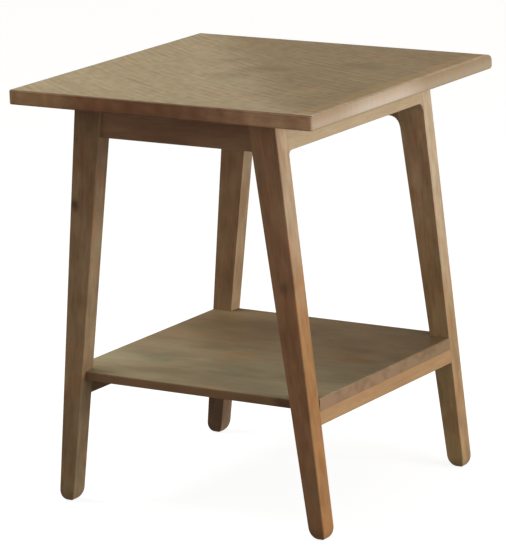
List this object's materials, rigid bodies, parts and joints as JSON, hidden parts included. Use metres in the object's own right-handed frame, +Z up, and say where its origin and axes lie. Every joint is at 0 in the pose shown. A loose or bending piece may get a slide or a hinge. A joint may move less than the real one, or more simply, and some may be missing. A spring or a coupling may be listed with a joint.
{
  "type": "end table with shelf",
  "caption": "Square wooden end table on raked, tapered legs, with aprons under a flat top and a low open shelf between the legs.",
  "frame": {"origin": "on the floor, under the middle of the table", "axes": "+X to the right along the front, +Y from the front to the back, +Z up"},
  "size_m": [0.45, 0.45, 0.55],
  "materials": {
    "top_wood": "satin brown stained wood, straight fine grain",
    "leg_wood": "satin brown stained wood",
    "rail_wood": "satin brown stained wood",
    "shelf_wood": "satin brown stained wood, straight fine grain",
    "inner_wood": "plain unstained hardwood",
    "screw_steel": "plated steel wood screws"
  },
  "bodies": {
    "root": {"back_apron": "rail_wood", "corner_block_back_left": "inner_wood", "corner_block_back_right": "inner_wood", "corner_block_front_left": "inner_wood", "corner_block_front_right": "inner_wood", "front_apron": "rail_wood", "left_shelf_rail": "rail_wood", "left_side_rail": "rail_wood", "leg_back_left": "leg_wood", "leg_back_right": "leg_wood", "leg_front_left": "leg_wood", "leg_front_right": "leg_wood", "right_shelf_rail": "rail_wood", "right_side_rail": "rail_wood", "shelf_board_1": "shelf_wood", "shelf_board_2": "shelf_wood", "shelf_board_3": "shelf_wood", "shelf_board_4": "shelf_wood", "shelf_screws": "screw_steel", "shelf_splines": "inner_wood", "top_board_1": "top_wood", "top_board_2": "top_wood", "top_board_3": "top_wood", "top_board_4": "top_wood", "top_button_back_apron": "inner_wood", "top_button_front_apron": "inner_wood", "top_button_left_back": "inner_wood", "top_button_left_front": "inner_wood", "top_button_right_back": "inner_wood", "top_button_right_front": "inner_wood", "top_button_screws": "screw_steel", "top_rear_strip": "top_wood", "top_splines": "inner_wood"}
  },
  "joints": []
}
